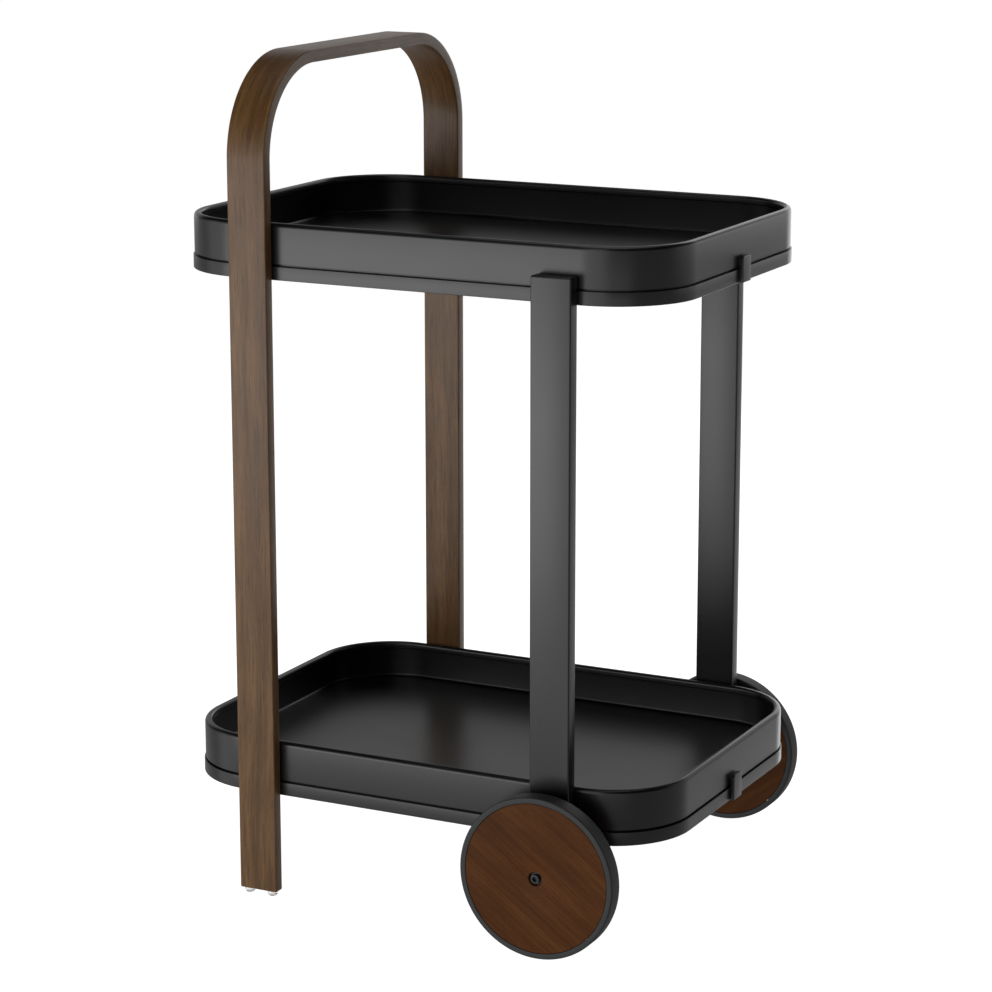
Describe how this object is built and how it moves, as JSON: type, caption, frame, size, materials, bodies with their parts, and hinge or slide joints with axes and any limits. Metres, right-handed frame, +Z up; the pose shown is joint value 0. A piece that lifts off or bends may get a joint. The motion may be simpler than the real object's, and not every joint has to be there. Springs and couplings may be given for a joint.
{
  "type": "bar cart",
  "caption": "Two-tier bar cart with rounded lift-off trays, a bentwood handle frame that forms the rear legs, flat metal front legs and large wooden wheels.",
  "frame": {"origin": "on the floor, under the middle of the trays", "axes": "+Z up, +X towards the wheel end, +Y to the cart's left; left and right mirror each other across Y = 0"},
  "size_m": [0.5362, 0.4742, 0.83],
  "materials": {
    "walnut_frame": "walnut veneer, satin lacquer",
    "walnut_disc": "walnut veneer, satin lacquer",
    "black_paint": "satin powder coat",
    "black_steel": "black oxide",
    "zinc_plate": "zinc plated",
    "tyre_rubber": "matte",
    "nylon": "matte",
    "clear_pad": "translucent soft bumper"
  },
  "bodies": {
    "cart_frame": {"axle_bolt_left": "black_steel", "axle_bolt_right": "black_steel", "axle_nut_left": "zinc_plate", "axle_nut_right": "zinc_plate", "axle_spacer_left": "black_steel", "axle_spacer_right": "black_steel", "axle_washer_left": "black_steel", "axle_washer_right": "black_steel", "bentwood_frame": "walnut_frame", "foot_pad_left_1": "clear_pad", "foot_pad_left_2": "clear_pad", "foot_pad_right_1": "clear_pad", "foot_pad_right_2": "clear_pad", "leg_plug_left": "nylon", "leg_plug_right": "nylon", "lower_clip_screw_front": "zinc_plate", "lower_clip_screw_rear": "zinc_plate", "lower_end_clip_front": "black_paint", "lower_end_clip_rear": "black_paint", "lower_leg_screw_left_1": "zinc_plate", "lower_leg_screw_left_2": "zinc_plate", "lower_leg_screw_right_1": "zinc_plate", "lower_leg_screw_right_2": "zinc_plate", "lower_ring": "black_paint", "lower_wood_screw_left_1": "zinc_plate", "lower_wood_screw_left_2": "zinc_plate", "lower_wood_screw_right_1": "zinc_plate", "lower_wood_screw_right_2": "zinc_plate", "metal_leg_left": "black_paint", "metal_leg_right": "black_paint", "upper_clip_screw_front": "zinc_plate", "upper_clip_screw_rear": "zinc_plate", "upper_end_clip_front": "black_paint", "upper_end_clip_rear": "black_paint", "upper_leg_screw_left_1": "zinc_plate", "upper_leg_screw_left_2": "zinc_plate", "upper_leg_screw_right_1": "zinc_plate", "upper_leg_screw_right_2": "zinc_plate", "upper_ring": "black_paint", "upper_wood_screw_left_1": "zinc_plate", "upper_wood_screw_left_2": "zinc_plate", "upper_wood_screw_right_1": "zinc_plate", "upper_wood_screw_right_2": "zinc_plate"},
    "upper_tray_body": {"upper_tray": "black_paint"},
    "lower_tray_body": {"lower_tray": "black_paint"},
    "wheel_left": {"wheel_disc_left": "walnut_disc", "tyre_left": "tyre_rubber", "hub_bush_left": "nylon"},
    "wheel_right": {"wheel_disc_right": "walnut_disc", "tyre_right": "tyre_rubber", "hub_bush_right": "nylon"}
  },
  "joints": [
    {"name": "upper_tray_lift", "type": "slide", "parent": "cart_frame", "child": "upper_tray_body", "axis": [0, 0, 1], "range_m": [0, 0.07]},
    {"name": "lower_tray_lift", "type": "slide", "parent": "cart_frame", "child": "lower_tray_body", "axis": [0, 0, 1], "range_m": [0, 0.45]},
    {"name": "wheel_left_spin", "type": "hinge", "parent": "cart_frame", "child": "wheel_left", "pos_m": [0.1606, 0.2275, 0.0793], "axis": [0, 1, 0], "continuous": true},
    {"name": "wheel_right_spin", "type": "hinge", "parent": "cart_frame", "child": "wheel_right", "pos_m": [0.1606, -0.2275, 0.0793], "axis": [0, 1, 0], "continuous": true}
  ]
}
